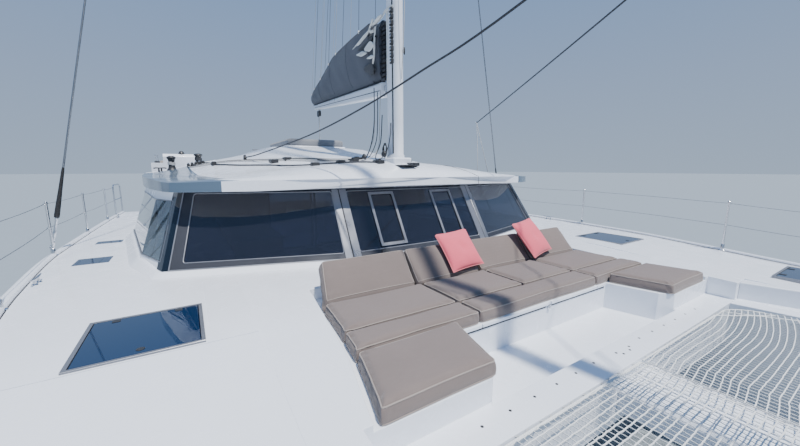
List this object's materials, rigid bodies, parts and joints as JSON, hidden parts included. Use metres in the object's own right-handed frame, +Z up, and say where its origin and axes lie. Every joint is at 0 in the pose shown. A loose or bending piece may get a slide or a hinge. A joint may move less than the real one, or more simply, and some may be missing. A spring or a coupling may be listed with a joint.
{
  "type": "sailing catamaran",
  "caption": "Cruising sailing catamaran: slim twin hulls, bridgedeck saloon, forward lounge and nets, mast with stowed sails, steering rudders and folding-out hatches.",
  "frame": {"origin": "on the waterline, on the centreline, half way between the stems and the sterns", "axes": "+X to the bows, +Y to port, +Z up the mast"},
  "size_m": [14.15, 7.7, 20.97],
  "materials": {
    "gelcoat": "white moulded gelcoat, gloss on the topsides and satin on the decks",
    "glass": "dark tinted safety glass and acrylic",
    "alloy": "white painted aluminium spar",
    "steel": "polished stainless steel rails and wire",
    "taupe": "taupe woven vinyl over foam",
    "coral": "coral cotton pillow cover",
    "canvas": "grey acrylic sail canvas",
    "net": "white knotted polyester cord net",
    "sailcloth": "rolled white laminate sail",
    "foil": "matt dark antifouling",
    "bronze": "cast bronze propeller",
    "joinery": "pale satin veneer"
  },
  "bodies": {
    "hull": {"hull_port": "gelcoat", "hull_starboard": "gelcoat", "bridgedeck": "gelcoat", "spine": "gelcoat", "forebeam": "alloy", "toe_rail_port": "steel", "toe_rail_starboard": "steel", "net_port": "net", "net_starboard": "net", "windscreen_frame": "gelcoat", "windscreen_port": "glass", "windscreen_centre": "glass", "windscreen_starboard": "glass", "cabin_side_port": "gelcoat", "cabin_side_starboard": "gelcoat", "side_glass_port": "glass", "side_glass_starboard": "glass", "roof": "gelcoat", "roof_sunpad": "canvas", "aft_bulkhead": "gelcoat", "aft_glass": "glass", "mast": "alloy", "genoa_furled": "sailcloth", "shroud_port": "steel", "shroud_starboard": "steel", "seat_cushion_1": "taupe", "seat_cushion_2": "taupe", "seat_cushion_3": "taupe", "seat_cushion_4": "taupe", "seat_strip_1": "taupe", "seat_strip_2": "taupe", "seat_strip_3": "taupe", "backrest_1": "taupe", "backrest_2": "taupe", "backrest_3": "taupe", "backrest_4": "taupe", "ottoman_port": "taupe", "ottoman_starboard": "taupe", "pillow_1": "coral", "pillow_2": "coral", "saildrive_port": "foil", "saildrive_starboard": "foil", "helm_station": "gelcoat", "helm_seat": "canvas", "cockpit_bench": "taupe", "cockpit_table": "joinery", "saloon_settee": "taupe", "galley": "joinery"},
    "boom": {"boom": "alloy", "sail_bag": "canvas"},
    "rudder_starboard": {"rudder_starboard": "foil"},
    "rudder_port": {"rudder_port": "foil"},
    "helm_wheel": {"helm_wheel": "steel"},
    "propeller_port": {"propeller_port": "bronze"},
    "propeller_starboard": {"propeller_starboard": "bronze"},
    "saloon_door": {"saloon_door": "glass"},
    "hatch_port": {"hatch_port": "glass"},
    "hatch_starboard": {"hatch_starboard": "glass"},
    "fore_hatch_port": {"fore_hatch_port": "glass"},
    "fore_hatch_starboard": {"fore_hatch_starboard": "glass"}
  },
  "joints": [
    {"name": "boom_swing", "type": "hinge", "parent": "hull", "child": "boom", "pos_m": [0.345, 0, 3.92], "axis": [0, 0, 1], "range_deg": [-50, 66]},
    {"name": "steering", "type": "hinge", "parent": "hull", "child": "rudder_starboard", "pos_m": [-5.9, -2.95, -0.4], "axis": [0, 0, 1], "range_deg": [-35, 35]},
    {"name": "rudder_port_turn", "type": "hinge", "parent": "hull", "child": "rudder_port", "pos_m": [-5.9, 2.95, -0.4], "axis": [0, 0, 1], "range_deg": [-35, 35]},
    {"name": "wheel_turn", "type": "hinge", "parent": "hull", "child": "helm_wheel", "pos_m": [-3.64, -2.45, 2.76], "axis": [1, 0, 0], "range_deg": [-225, 225]},
    {"name": "propeller_port_spin", "type": "hinge", "parent": "hull", "child": "propeller_port", "pos_m": [-4.83, 2.95, -0.9], "axis": [1, 0, 0], "continuous": true},
    {"name": "propeller_starboard_spin", "type": "hinge", "parent": "hull", "child": "propeller_starboard", "pos_m": [-4.83, -2.95, -0.9], "axis": [1, 0, 0], "continuous": true},
    {"name": "saloon_door_slide", "type": "slide", "parent": "hull", "child": "saloon_door", "axis": [0, 1, 0], "range_m": [0, 0.85]},
    {"name": "hatch_port_lift", "type": "hinge", "parent": "hull", "child": "hatch_port", "pos_m": [2.33, 2.695, 1.87], "axis": [0, 1, 0], "range_deg": [0, 85]},
    {"name": "hatch_starboard_lift", "type": "hinge", "parent": "hull", "child": "hatch_starboard", "pos_m": [2.33, -2.695, 1.87], "axis": [0, 1, 0], "range_deg": [0, 85]},
    {"name": "fore_hatch_port_lift", "type": "hinge", "parent": "hull", "child": "fore_hatch_port", "pos_m": [4.33, 2.68, 1.818], "axis": [0, 1, 0], "range_deg": [0, 85]},
    {"name": "fore_hatch_starboard_lift", "type": "hinge", "parent": "hull", "child": "fore_hatch_starboard", "pos_m": [4.33, -2.68, 1.818], "axis": [0, 1, 0], "range_deg": [0, 85]}
  ],
  "couplings": [
    {"joint": "rudder_port_turn", "follows": "steering", "ratio": 1},
    {"joint": "wheel_turn", "follows": "steering", "ratio": 6.4}
  ]
}
